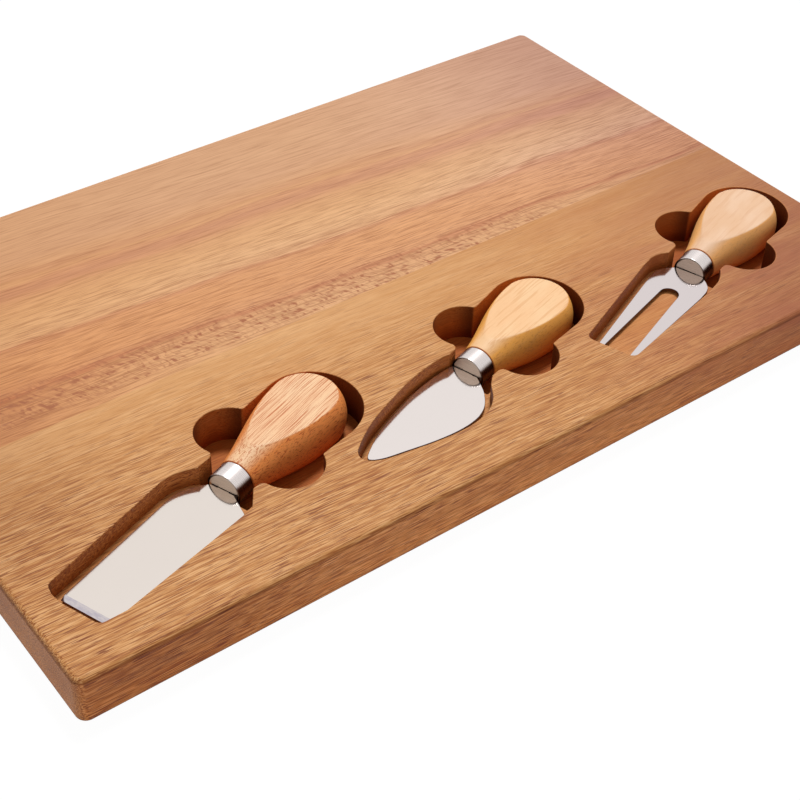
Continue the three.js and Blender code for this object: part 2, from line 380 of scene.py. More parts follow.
frontWood = {
    "turn": -1.6,
    "sway": 4,
    "cloud": (34, 3.2),
    "band": (150, 14),
    "figure": (60, 9),
    "figureRise": (0.35, 0.62),
    "patchRise": (0.38, 0.6),
    "light": (228, 174, 119),
    "middle": (205, 144, 85),
    "dark": (168, 102, 52),
    "red": (178, 106, 70),
    "redShare": 0.72,
    "dash": (134, 72, 34),
    "dashDetail": 1,
    "dashRise": (0.56, 0.63),
    "poreRise": (0.6, 0.7),
    "poreShare": 0.5,
    "fibreShare": 3,
    "smoothLift": 0.26,
    "endDrop": 0.16,
    "paintedDeepShadeTint": (0.66, 0.42, 0.22, 1),
    "paintedWallShadeTint": (0.78, 0.51, 0.31, 1),
    "paintedEndWallShadeTint": (0.3, 0.24, 0.24, 1),
    "floorTint": (1.03, 0.9, 0.76, 1),
    # where the coarse grain, the red, the routed floor tint and the painted shade in the pockets come and
    # go
    "coarseFade": (-70, -15),
    "smoothAlong": (60, 120),
    "smoothAcross": (-105, -75),
    "fineFades": (((-160, 40), 0.35), ((60, 150), 0.18)),
    "darkEnd": (30, 150),
    "redAlong": (0, 130),
    "redAcross": (-75, -15),
    "redUp": (8, 19.5),
    "routedUp": (11, 19),
    "floorUp": (11, 17),
    "paintedDeepShadeUp": (5, 11.5),
    "paintedEndWallShadeTurn": (0.25, 0.85),
}

rearWood = {
    "turn": -3.1,
    "sway": 5,
    # the colour bands across the stave, from the front to the rear
    "bands": [
        (-30, (222, 167, 118)), (-6, (222, 168, 120)), (1, (215, 157, 110)), (3, (196, 128, 88)),
        (5, (216, 155, 108)), (12, (218, 155, 105)), (22, (219, 157, 107)), (26, (216, 154, 106)),
        (28, (206, 143, 101)), (30, (220, 166, 120)), (36, (224, 172, 124)), (46, (222, 168, 118)),
        (54, (216, 160, 112)), (58, (210, 150, 108)), (61, (204, 144, 106)), (65, (210, 150, 108)),
        (68, (216, 160, 112)), (70, (206, 148, 106)), (74, (216, 162, 118)), (82, (212, 160, 120)),
        (100, (214, 163, 122)), (118, (212, 160, 119)), (135, (212, 160, 118)),
    ],
    "wander": (45, 6),
    "shade": [(0.1, (0.74, 0.66, 0.6, 1)), (0.5, (1, 1, 1, 1)), (0.9, (1.12, 1.16, 1.2, 1))],
    "near": (25, 80),
    "dash": (168, 108, 72),
    "dashDetail": 3,
    "dashRise": (0.56, 0.68),
    "poreRise": (0.62, 0.74),
    "leftTint": (0.95, 0.88, 0.77, 1),
    "leftSide": (-170, 10),
    "rightTint": (1.02, 1.06, 1.22, 1),
    "rightSide": (20, 130),
    "rightInward": (0, 20),
    "cornerTint": (0.89, 0.77, 0.71, 1),
    "cornerAlong": (-160, -70),
    "cornerAcross": (-2, 14),
    # the rippled figure beside the glue line
    "ripple": (170, 104, 68),
    "rippleWave": (1.5, 3.2),
    "waveRise": (0.42, 0.62),
    "rippleBlotch": (7, 2),
    "blotchRise": (0.45, 0.62),
    "rippleSwing": (20, 9),
    "rippleFront": (-14, -10),
    "rippleRear": (1, 8),
    "rippleRight": (60, 130),
}


def atLeast(share, lowest):
    # a share of 0 to 1 squeezed to run from the lowest to 1
    return share * (1 - lowest) + lowest


def grain(graph, place, part, shift=0, detail=2, roughness=0.55):
    # a noise drawn out along the wood, about as long and wide as the part says
    x, y, z = place
    long, wide = part
    return graph.noise(x / long + shift, y / wide, z / wide, detail, roughness)


def mottle(graph, place, part, detail, shift=0):
    # the same with softer detail
    return grain(graph, place, part, shift, detail, 0.5)


def warped(graph, place, part, sway):
    # lets the lines of the grain wander sideways
    x, y, z = place
    return x, y + (mottle(graph, place, part, 1) - 0.5) * sway, z


def facing(graph):
    # how far a face is turned from level, and how far it faces along the board
    normal = graph.node("ShaderNodeNewGeometry", output="Normal")
    x = graph.node("ShaderNodeSeparateXYZ", {}, [normal])
    return x.also("Z").maths("ABSOLUTE"), x.maths("ABSOLUTE")


def staveGrain(name, wood):
    # a new material with its wandering grain, its fibres and its broader streaks
    material, graph = newMaterial(name)
    place = warped(graph, graph.placed(turn=wood["turn"]), boardWood["warp"], wood["sway"])
    fibre = grain(graph, place, boardWood["fibre"])
    streak = grain(graph, place, boardWood["streak"], 40, 3)
    return material, graph, place, fibre, streak


def dashesAndPores(graph, place, wood, fine):
    dash = grain(graph, place, boardWood["dash"], 3, wood["dashDetail"])
    pore = grain(graph, place, boardWood["pore"], 7, 1)
    return dash.rise(*wood["dashRise"]) * fine, pore.rise(*wood["poreRise"]) * fine


def woodSurface(graph, colour, fibre, dash, pores):
    # fibres stand up a little, dashes and pores lie below them
    wood = boardWood
    relief = (fibre - 0.5) * 0.5 - pores - dash * 0.4
    graph.surface({
        "Base Color": colour, "Specular IOR Level": wood["specular"],
        "Roughness": wood["roughness"] + (relief + 0.5) * wood["roughnessSpread"],
        "Normal": graph.bump(wood, relief)})


def boardFaces(graph, colour, place, edgeShadeStreak):
    # the board is darker towards its ends, the long faces are redder than the top, lighter low down
    # with painted bounce light and darker towards the left with painted shade, the end grain is greyer,
    # and painted shade lies as a darker line low on the rounded edge
    wood = boardWood
    x, y, z = place
    level, end = facing(graph)
    side = level.fall(*wood["steep"])
    inward = y.rise(*wood["inward"])
    # painted bounce light: the long faces lighter near their foot, as if lit from the floor
    faceTint = graph.mixed(wood["paintedBounceLightTint"], wood["faceTint"], z.rise(*wood["paintedBounceLightFoot"]))
    colour = graph.tinted(colour, wood["leftTint"], inward * x.fall(*wood["leftEnd"]))
    colour = graph.tinted(
        colour, wood["rightTint"], (x - inward * wood["rightEndDelay"]).rise(*wood["rightEnd"]))
    colour = graph.tinted(colour, faceTint, side)
    # painted shade: the long faces darker towards the left end
    colour = graph.tinted(colour, wood["paintedShadeLeftFaceTint"], x.fall(*wood["paintedShadeLeftFaceEnd"]) * side * (1 - end))
    # painted shade: a darker line low on the rounded edge, broken up by the grain streaks
    line = level.rise(*wood["paintedEdgeShadeTurn"][0]) * level.fall(*wood["paintedEdgeShadeTurn"][1])
    colour = graph.tinted(colour, wood["paintedEdgeShadeTint"], line * atLeast(edgeShadeStreak.rise(*wood["edgeShadeStreakRise"]), 0.4))
    return graph.tinted(colour, wood["endTint"], end.rise(*wood["endTurn"]))


def frontStaveMaterial(name, routed):
    wood = frontWood
    material, graph, place, fibre, streak = staveGrain(name, wood)
    x, y, z = place
    cloud = grain(graph, place, wood["cloud"], 11, 3)
    band = grain(graph, place, wood["band"], 5)

    smooth = x.rise(*wood["smoothAlong"]) * y.rise(*wood["smoothAcross"])
    coarse = y.fall(*wood["coarseFade"]) * (1 - smooth * 0.6)
    if routed:
        coarse = coarse * atLeast(z.rise(*wood["routedUp"]), 0.4)
    strength = 1.15
    for span, loss in wood["fineFades"]:
        strength = strength - x.rise(*span) * loss
    fine = atLeast(coarse, 0.3) * strength

    tone = (cloud + band - 1) * 0.5 + (streak - 0.5) * 0.2 + (fibre - 0.5) * wood["fibreShare"] * fine
    tone = tone + 0.5 + (1 - coarse) * wood["smoothLift"]
    tone = tone - x.rise(*wood["darkEnd"]) * wood["endDrop"]
    stops = zip((0, 0.5, 1), (wood["dark"], wood["middle"], wood["light"]))
    colour = graph.ramp(tone, [(at, screenColour(*paint)) for at, paint in stops])

    figure = atLeast(mottle(graph, place, wood["figure"], 3).rise(*wood["figureRise"]), 0.4)
    red = x.rise(*wood["redAlong"]) * (1 - y.rise(*wood["redAcross"]) * 0.6) * figure
    red = red * atLeast(z.rise(*wood["redUp"]), 0.4)
    colour = graph.painted(colour, wood["red"], red * wood["redShare"])

    dash, pores = dashesAndPores(graph, place, wood, fine)
    patch = atLeast(cloud.rise(*wood["patchRise"]), 0.4)
    colour = graph.painted(colour, wood["dash"], dash * patch)
    colour = graph.painted(colour, wood["dash"], pores * wood["poreShare"])
    if routed:
        level, end = facing(graph)
        wall = level.fall(*boardWood["steep"])
        colour = graph.tinted(colour, wood["floorTint"], z.fall(*wood["floorUp"]))
        # painted shade: the routed wood darker deep down in the pockets
        colour = graph.tinted(colour, wood["paintedDeepShadeTint"], z.fall(*wood["paintedDeepShadeUp"]))
        # painted shade: the pocket walls darker and redder
        colour = graph.tinted(colour, wood["paintedWallShadeTint"], wall)
        # painted shade: pocket walls facing along the board darker still
        colour = graph.tinted(colour, wood["paintedEndWallShadeTint"], wall * end.rise(*wood["paintedEndWallShadeTurn"]))
    else:
        colour = boardFaces(graph, colour, place, streak)
    woodSurface(graph, colour, fibre, dash, pores)
    return material


def rearStaveMaterial(name):
    wood = rearWood
    material, graph, place, fibre, streak = staveGrain(name, wood)
    x, y, z = place

    low, high = wood["bands"][0][0], wood["bands"][-1][0]
    wander = (mottle(graph, place, wood["wander"], 3) - 0.5) * 6 + (streak - 0.5) * 7 + (fibre - 0.5) * 4
    colour = graph.ramp(
        (y + wander - low) / (high - low),
        [((at - low) / (high - low), screenColour(*paint)) for at, paint in wood["bands"]])
    near = y.fall(*wood["near"])
    tone = 0.5 + (fibre - 0.5) * (near * 1.8 + 0.7) + (streak - 0.5) * 1.35
    colour = graph.tinted(colour, graph.ramp(tone, wood["shade"]), 1)
    colour = graph.tinted(colour, wood["leftTint"], x.fall(*wood["leftSide"]))
    rightShare = x.rise(*wood["rightSide"]) * y.rise(*wood["rightInward"])
    colour = graph.tinted(colour, wood["rightTint"], rightShare)
    cornerShare = x.fall(*wood["cornerAlong"]) * y.fall(*wood["cornerAcross"])
    colour = graph.tinted(colour, wood["cornerTint"], cornerShare)

    dash, pores = dashesAndPores(graph, place, wood, atLeast(near, 0.3))
    colour = graph.painted(colour, wood["dash"], dash * 0.45 + pores * 0.3)

    swing = (mottle(graph, place, wood["rippleSwing"], 1) - 0.5) * 8 + y * 0.5
    ripple = mottle(graph, (x + swing, y, z), wood["rippleWave"], 2).rise(*wood["waveRise"])
    blotch = mottle(graph, place, wood["rippleBlotch"], 2, 3).rise(*wood["blotchRise"])
    zone = y.rise(*wood["rippleFront"]) * y.fall(*wood["rippleRear"])
    zone = zone * x.fall(*wood["rippleRight"])
    colour = graph.painted(colour, wood["ripple"], zone * atLeast(blotch, 0.3) * ripple)
    colour = boardFaces(graph, colour, place, streak)
    woodSurface(graph, colour, fibre, dash, pores)
    return material


handleWood = {
    "chisel": {
        "base": (249, 200, 154), "light": (253, 211, 166), "line": (200, 110, 58), "side": (250, 155, 80),
        "pore": (184, 76, 32), "streak": (24, 0.3), "lineShare": 0.9, "poreShare": 0.7,
    },
    "spade": {
        "base": (251, 201, 150), "light": (253, 209, 160), "line": (228, 164, 104), "side": (255, 181, 86),
        "pore": (200, 112, 50), "streak": (26, 1.2), "lineShare": 0.4, "poreShare": 0.35,
    },
    "fork": {
        "base": (238, 193, 154), "light": (244, 204, 170), "line": (226, 172, 128), "side": (255, 186, 110),
        "pore": (190, 122, 72), "streak": (30, 2), "lineShare": 0.3, "poreShare": 0.2,
    },
}

handleFinish = {
    "warp": (40, 14),
    "sway": 3,
    "fibre": (7, 0.35),
    "fibreRise": (0.5, 0.7),
    "cloud": (24, 9),
    "cloudRise": (0.4, 0.65),
    "lineRise": (0.52, 0.6),
    "pore": (2.8, 0.46),
    "poreRise": (0.56, 0.65),
    "side": (0.66, 0.96),
    "seam": (196, 106, 56),
    "seamEnd": (7.8, 8.1),
    "seamShare": 0.7,
    "relief": 0.2,
    "reliefDepth": 0.0001,
    "roughness": 0.42,
    "roughnessSpread": 0.1,
    "specular": 0.22,
}


def toolMaterial(toolName, kind):
    # a new material, placed from the tool's ferrule on along its axis
    material, graph = newMaterial(f"{toolName}{kind}")
    start, turn = toolPlace(toolName)
    return material, graph, graph.placed(start, bladeHeight, turn)


def handleMaterial(toolName):
    # clear wood on the flat, redder with more pores round the sides, where the redder tone is partly
    # painted shade, dark where it meets the ferrule
    look, finish = handleWood[toolName], handleFinish
    material, graph, place = toolMaterial(toolName, "HandleWood")
    place = warped(graph, place, finish["warp"], finish["sway"])
    streak = grain(graph, place, look["streak"])
    fibre = grain(graph, place, finish["fibre"])
    cloud = mottle(graph, place, finish["cloud"], 2)
    side = facing(graph)[0].fall(*finish["side"])
    colour = graph.painted(screenColour(*look["base"]), look["light"], cloud.rise(*finish["cloudRise"]))
    # partly painted shade: the sides redder and darker than the flat
    colour = graph.painted(colour, look["side"], side)
    line = streak.rise(*finish["lineRise"]) * look["lineShare"]
    line = line + fibre.rise(*finish["fibreRise"]) * 0.15
    colour = graph.painted(colour, look["line"], line * (1 - side * 0.5))
    pores = grain(graph, place, finish["pore"], 0, 1)
    pores = pores.rise(*finish["poreRise"]) * look["poreShare"]
    colour = graph.painted(colour, look["pore"], pores * atLeast(side, 0.15))
    seam = place[0].fall(*finish["seamEnd"])
    colour = graph.painted(colour, finish["seam"], seam * finish["seamShare"])
    relief = (fibre - 0.5) * 0.5 - (pores * side + line) * 0.3
    graph.surface({
        "Base Color": colour, "Roughness": finish["roughness"] + fibre * finish["roughnessSpread"],
        "Normal": graph.bump(finish, relief),
        "Specular IOR Level": finish["specular"]})
    return material


bladeSteel = {
    "colours": {"chisel": (226, 216, 208), "spade": (229, 220, 216), "fork": (216, 206, 205)},
    "paintedGroundReflection": (190, 182, 190),
    "edgeFacePaintedShade": (92, 76, 72),
    "lines": (40, 0.12),
    "cloud": (25, 18),
    "paintedEdgeShadeTurn": (0.62, 0.82),
    "groundTurn": (0.97, 0.995),
    "relief": 0.05,
    "reliefDepth": 0.00002,
    "roughness": 0.11,
    "edgeRoughness": 0.2,
}


def bladeMaterial(toolName):
    # polished faces, a greyer ground end that is a painted reflection, and edge faces darkened with painted
    # shade
    steel = bladeSteel
    material, graph, place = toolMaterial(toolName, "BladeSteel")
    x, y, z = place
    level = facing(graph)[0]
    edge = level.fall(*steel["paintedEdgeShadeTurn"])
    # painted reflection: the ground end greyer, as if it mirrored darker surroundings
    paintedGroundReflection = (1 - edge) * level.fall(*steel["groundTurn"])
    lines = mottle(graph, place, steel["lines"], 2) - 0.5
    cloud = mottle(graph, place, steel["cloud"], 2) - 0.5
    groundReflectionMottle = atLeast(graph.noise(x / 0.8, y / 2.4, z, 2).rise(0.35, 0.65), 0.5)
    colour = graph.painted(screenColour(*steel["colours"][toolName]), steel["paintedGroundReflection"], paintedGroundReflection * groundReflectionMottle)
    # painted shade: the blade's edge faces darker, as if in shadow
    colour = graph.painted(colour, steel["edgeFacePaintedShade"], edge)
    graph.surface({
        "Base Color": colour, "Metallic": 1,
        "Roughness": steel["roughness"] + (lines + cloud) * 0.03 + edge * steel["edgeRoughness"],
        "Normal": graph.bump(steel, lines)})
    return material


ferruleSteel = {
    "band": (214, 205, 202),
    "bandPaintedReflection": (84, 60, 48),
    "bandReflectionTurn": (3.2, 5.1),
    "disc": (206, 188, 172),
    "discLines": (172, 154, 138),
    "paintedGrooveShade": (88, 76, 68),
    "front": (0.4, 0.7),
    "soft": 0.1,
    "bandLines": (0.11, 9),
    "relief": 0.25,
    "reliefDepth": 0.00002,
    "roughness": 0.27,
    "discRoughness": 0.15,
    "lineRoughness": 0.1,
}


def ferruleMaterial(toolName):
    # a satin band with lines round it, darker low down with a painted reflection of the dark pocket,
    # and a duller brushed disc behind a groove darkened with painted shade
    steel, rim, soft = ferruleSteel, ferrule["discRadius"], ferruleSteel["soft"]
    material, graph, place = toolMaterial(toolName, "FerruleSteel")
    x, y, z = place
    radius = (y * y + z * z).maths("SQRT")
    disc = x.fall(*steel["front"]) * radius.fall(rim - soft, rim)
    paintedGrooveShade = radius.rise(rim - ferrule["grooveWidth"] - soft, rim - 2 * soft)
    around = mottle(graph, place, steel["bandLines"], 2) - 0.5
    across = graph.noise(x, y / 5 + z / 3, z / 0.14, 2) - 0.5
    lines = around + disc * (across - around)
    tone = graph.painted(screenColour(*steel["disc"]), steel["discLines"], across.rise(-0.25, 0.25))
    # painted shade: the groove round the disc darkened
    tone = graph.painted(tone, steel["paintedGrooveShade"], paintedGrooveShade)
    # painted reflection: the band's lower part dark, as if mirroring the dark pocket wall
    band = graph.painted(screenColour(*steel["bandPaintedReflection"]), steel["band"], z.rise(*steel["bandReflectionTurn"]))
    roughness = steel["roughness"] + disc * steel["discRoughness"] + lines * steel["lineRoughness"]
    graph.surface({
        "Base Color": graph.mixed(band, tone, disc), "Metallic": 1, "Roughness": roughness,
        "Normal": graph.bump(steel, lines)})
    return material


def arc(centreX, centreY, radius, fromAngle, toAngle, steps):
    angles = np.linspace(fromAngle, toAngle, steps + 1)
    return np.stack([centreX + radius * np.cos(angles), centreY + radius * np.sin(angles)], 1)


def turned(points, degrees, move=(0, 0)):
    angle = math.radians(degrees)
    spin = np.array([[math.cos(angle), math.sin(angle)], [-math.sin(angle), math.cos(angle)]])
    return np.asarray(points, float) @ spin + np.asarray(move, float)


def toolPlace(toolName):
    # where a tool's ferrule front lies on the board, and the way its axis points
    tool = tools[toolName]
    along = tool["lie"][0] - pocket["ferruleFront"]
    start = turned([(along, tool["lie"][1])], pocket["turn"], tool["middle"])[0]
    return tuple(start), pocket["turn"] + tool["lieTurn"]


def signedArea(points):
    x, y = points[:, 0], points[:, 1]
    return 0.5 * float(np.sum(x * np.roll(y, -1) - np.roll(x, -1) * y))


def grown(points, clearance):
    # an outline pushed outwards, with its outer corners rounded
    outline = np.asarray(points, float)
    if signedArea(outline) < 0:
        outline = outline[::-1]
    result = []
    for before, here, after in zip(np.roll(outline, 1, 0), outline, np.roll(outline, -1, 0)):
        first = math.atan2(here[1] - before[1], here[0] - before[0]) - math.pi / 2
        second = math.atan2(after[1] - here[1], after[0] - here[0]) - math.pi / 2
        bend = math.atan2(math.sin(second - first), math.cos(second - first))
        if bend > math.pi / 12:
            result.extend(arc(*here, clearance, first, first + bend, pocket["filletSteps"]))
        else:
            reach = clearance / math.cos(bend / 2)
            middle = first + bend / 2
            result.append(here + reach * np.array([math.cos(middle), math.sin(middle)]))
    return np.array(result)


def swollen(points, by):
    # a smooth outline pushed outwards, point by point
    before, after = np.roll(points, 1, 0), np.roll(points, -1, 0)
    along = after - before
    along /= np.linalg.norm(along, axis=1)[:, None]
    return points + by * np.stack([along[:, 1], -along[:, 0]], 1)


def evened(points, spacing):
    # the same closed outline with no two points closer than the spacing
    spaced = [points[0]]
    for point in points[1:]:
        if np.linalg.norm(point - spaced[-1]) > spacing:
            spaced.append(point)
    if np.linalg.norm(spaced[-1] - spaced[0]) < spacing:
        spaced.pop()
    return np.array(spaced)


def quarterCurve(start, corner, end):
    t = np.linspace(0, 1, blade["curveSteps"] + 1)[:, None]
    start, corner, end = (np.array(point, float) for point in (start, corner, end))
    return (1 - t) ** 2 * start + 2 * t * (1 - t) * corner + t ** 2 * end


def smoothCurve(points, steps):
    # a curve through all its points, with tangents from their neighbours
    points = np.asarray(points, float)
    count = len(points)
    result = []
    for share in np.linspace(0, 1, steps + 1):
        place = (count - 1) * share
        here = min(int(place), count - 2)
        t = place - here
        p0, p1 = points[max(here - 1, 0)], points[here]
        p2, p3 = points[here + 1], points[min(here + 2, count - 1)]
        if here == 0:
            p0 = p1
        if here == count - 2:
            p3 = p2
        v0, v1 = (p2 - p0) / 2, (p3 - p1) / 2
        result.append((2 * p1 - 2 * p2 + v0 + v1) * t ** 3
                      + (-3 * p1 + 3 * p2 - 2 * v0 - v1) * t ** 2 + v0 * t + p1)
    return np.array(result)


def chiselOutline(tool, forRecess):
    root = (-blade["gap"], tool["rootReach"])
    shoulder = (-tool["shoulderLength"] / 2, tool["spineReach"])
    spine = (-tool["shoulderLength"], tool["spineReach"])
    outline = list(quarterCurve(root, shoulder, spine))
    if forRecess:
        end = tool["recessEnd"]
        length = tool["bladeLength"] + end["beyond"]
        outline += [(back - length, share * tool["spineReach"]) for back, share in end["far"]]
        outline += [(back - length, -share * tool["tipReach"]) for back, share in end["near"]]
    else:
        outline += [(-tool["bladeLength"], tool["spineReach"]), (-tool["bladeLength"], -tool["tipReach"])]
    outline.append((-tool["heelSetback"], -tool["heelReach"]))
    outline.append((-blade["gap"], -tool["recessNearRoot" if forRecess else "nearRootReach"]))
    return np.array(outline)


def spadeOutline(tool, forRecess):
    run = tool["bladeLength"] - blade["gap"]
    place = [[(-blade["gap"] - run * along, tool["bladeWidth"] * across) for along, across in shares]
             for shares in (tool["farShares"], tool["tipShares"], tool["bellyShares"])]
    if forRecess:
        place[2][-1] = (-blade["gap"], -tool["recessNearRoot"])
    far = smoothCurve(place[0] + place[1], 2 * blade["curveSteps"])
    belly = smoothCurve(place[1][-1:] + place[2], 3 * blade["curveSteps"])
    return np.concatenate([far, belly[1:]])


def forkSide(tool, rootReach):
    curve = quarterCurve(
        (-blade["gap"], rootReach),
        (-tool["shoulderLength"] / 2, tool["shoulderReach"]),
        (-tool["shoulderLength"], tool["shoulderReach"]))
    return np.concatenate([curve, [
        (-tool["shoulderLength"] - tool["shoulderFlat"], tool["shoulderReach"]),
        (-tool["bladeLength"], tool["tipReach"])]])


def forkOutline(tool, forRecess):
    far = forkSide(tool, tool["rootReach"])
    near = forkSide(tool, tool["recessNearRoot" if forRecess else "rootReach"])[::-1] * (1, -1)
    if forRecess:
        return np.concatenate([far, near])
    slotEnd = -tool["slotSetback"] - tool["slotReach"]
    slot = np.concatenate([
        [(-tool["bladeLength"], tool["tipGapReach"])],
        arc(slotEnd, 0, tool["slotReach"], math.pi / 2, -math.pi / 2, pocket["arcSteps"] // 2),
        [(-tool["bladeLength"], -tool["tipGapReach"])]])
    return np.concatenate([far, slot, near])


outlines = {"chisel": chiselOutline, "spade": spadeOutline, "fork": forkOutline}


def deepPocketHalf(channelReach, headEnd, headRadius):
    side = headRadius - pocket["headFlare"]
    scoopX, scoopY, scoopRadius = -pocket["scoopSetback"], pocket["scoopOffset"], pocket["scoopRadius"]
    channelY = channelReach + pocket["channelRound"]
    channelSpan = scoopRadius + pocket["channelRound"]
    start = math.pi - math.asin((channelY - scoopY) / channelSpan)
    channelX = scoopX + channelSpan * math.cos(start)
    filletY = side + pocket["scoopRound"]
    filletSpan = scoopRadius + pocket["scoopRound"]
    leave = math.asin((filletY - scoopY) / filletSpan)
    filletX = scoopX + filletSpan * math.cos(leave)
    small = pocket["stepMargin"] / 2
    front = -pocket["ferruleFront"] - pocket["stepMargin"]
    return np.concatenate([
        arc(front + small, channelReach - small, small, math.pi, math.pi / 2, pocket["filletSteps"]),
        arc(channelX, channelY, pocket["channelRound"], -math.pi / 2, start - math.pi,
            pocket["filletSteps"]),
        arc(scoopX, scoopY, scoopRadius, start, leave, pocket["arcSteps"])[1:-1],
        arc(filletX, filletY, pocket["scoopRound"], leave + math.pi, 1.5 * math.pi,
            pocket["filletSteps"]),
        arc(headEnd - headRadius, 0, headRadius, math.pi / 2, 0, pocket["arcSteps"] // 2),
    ])


def deepPocketOutline(tool):
    headEnd = tool["headPocketDistance"] + pocket["headRadius"]
    halves = zip(tool["channelReach"], (pocket["headRadius"], tool["nearHeadRadius"]))
    far, near = (deepPocketHalf(reach, headEnd, radius) for reach, radius in halves)
    return np.concatenate([far, near[:-1][::-1] * (1, -1)])[::-1]


def meshObject(name, points, faces, material):
    mesh = bpy.data.meshes.new(name)
    mesh.from_pydata([tuple(point) for point in points], [], faces)
    mesh.materials.append(material)
    mesh.update()
    piece = bpy.data.objects.new(name, mesh)
    bpy.context.scene.collection.objects.link(piece)
    return piece


def loft(name, rings, material):
    # closed rings of equal length, one above the other, skinned and capped
    count = len(rings[0])
    points = np.concatenate(rings) * mm
    faces = []
    for ring in range(len(rings) - 1):
        for i in range(count):
            a, b = ring * count + i, ring * count + (i + 1) % count
            faces.append((a, b, b + count, a + count))
    faces.append(tuple(range(count))[::-1])
    faces.append(tuple(range((len(rings) - 1) * count, len(rings) * count)))
    return meshObject(name, points, faces, material)


def raised(outline, height):
    return np.column_stack([outline, np.full(len(outline), height)])


def applied(piece):
    # the piece as a plain mesh, with its modifiers worked in
    mesh = bpy.data.meshes.new_from_object(
        piece.evaluated_get(bpy.context.evaluated_depsgraph_get()))
    mesh.name = piece.name
    old = piece.data
    piece.modifiers.clear()
    piece.data = mesh
    bpy.data.meshes.remove(old)
    return piece


def cutAway(piece, cutters):
    for cutter in cutters:
        modifier = piece.modifiers.new("cut", "BOOLEAN")
        modifier.operation = "DIFFERENCE"
        modifier.solver = "EXACT"
        modifier.material_mode = "TRANSFER"
        modifier.object = cutter
    applied(piece)
    for cutter in cutters:
        bpy.data.objects.remove(cutter)
    return piece


def evenShading(piece, sharpAngle):
    # flat faces keep flat shading beside their rounded edges
    piece.data.shade_smooth()
    piece.data.set_sharp_from_angle(angle=math.radians(sharpAngle))
    modifier = piece.modifiers.new("shading", "WEIGHTED_NORMAL")
    modifier.keep_sharp = True
    return applied(piece)


def boardRing(inset, height):
    x = board["length"] / 2 - board["cornerRadius"]
    y = board["depth"] / 2 - board["cornerRadius"]
    radius = board["cornerRadius"] - inset
    quarter = math.pi / 2
    corners = [(x, y), (-x, y), (-x, -y), (x, -y)]
    ring = np.concatenate([
        arc(*corner, radius, i * quarter, (i + 1) * quarter, board["cornerSteps"])
        for i, corner in enumerate(corners)])
    return raised(ring, height)


def staveBody(name, material, keepRear):
    lower, upper = [], []
    for angle in np.linspace(0, math.pi / 2, board["roundSteps"] + 1):
        rise, draw = 1 - math.cos(angle), 1 - math.sin(angle)
        lower.append(boardRing(board["undersideRound"] * draw, board["undersideRound"] * rise))
        upper.append(boardRing(board["topRound"] * draw, board["thickness"] - board["topRound"] * rise))
    piece = loft(name, lower + upper[::-1], material)
    shape = bmesh.new()
    shape.from_mesh(piece.data)
    everything = shape.verts[:] + shape.edges[:] + shape.faces[:]
    cut = bmesh.ops.bisect_plane(
        shape, geom=everything, plane_co=(0, board["glueLine"] * mm, 0), plane_no=(0, 1, 0),
        clear_inner=keepRear, clear_outer=not keepRear)
    edges = [one for one in cut["geom_cut"] if isinstance(one, bmesh.types.BMEdge)]
    bmesh.ops.contextual_create(shape, geom=edges)
    bmesh.ops.recalc_face_normals(shape, faces=shape.faces[:])
    shape.to_mesh(piece.data)
    shape.free()
    return piece


def pocketCutters(toolName, material):
    tool = tools[toolName]
    recess = turned(
        grown(outlines[toolName](tool, True), pocket["bladeClearance"]),
        tool["recessTurn"], (tool["recessAlong"] - pocket["ferruleFront"], 0))
    cutters = []
    for kind, outline, depth in (
            ("deep", deepPocketOutline(tool), pocket["deepDepth"]),
            ("blade", recess, pocket["bladeDepth"])):
        if signedArea(outline) < 0:
            outline = outline[::-1]
        outline = evened(turned(outline, pocket["turn"], tool["middle"]), pocket["pointSpacing"])
        rings = [raised(outline, board["thickness"] - depth)]
        for angle in np.linspace(0, math.pi / 2, pocket["rimSteps"] + 1):
            flare = pocket["rimRound"] * (1 - math.cos(angle))
            drop = pocket["rimRound"] * (1 - math.sin(angle))
            rings.append(raised(swollen(outline, flare), board["thickness"] - drop + pocket["rimLift"]))
        rings.append(raised(swollen(outline, pocket["rimRound"]), board["thickness"] + pocket["overrun"]))
        cutters.append(loft(f"{toolName}{kind}Cutter", rings, material))
    return cutters


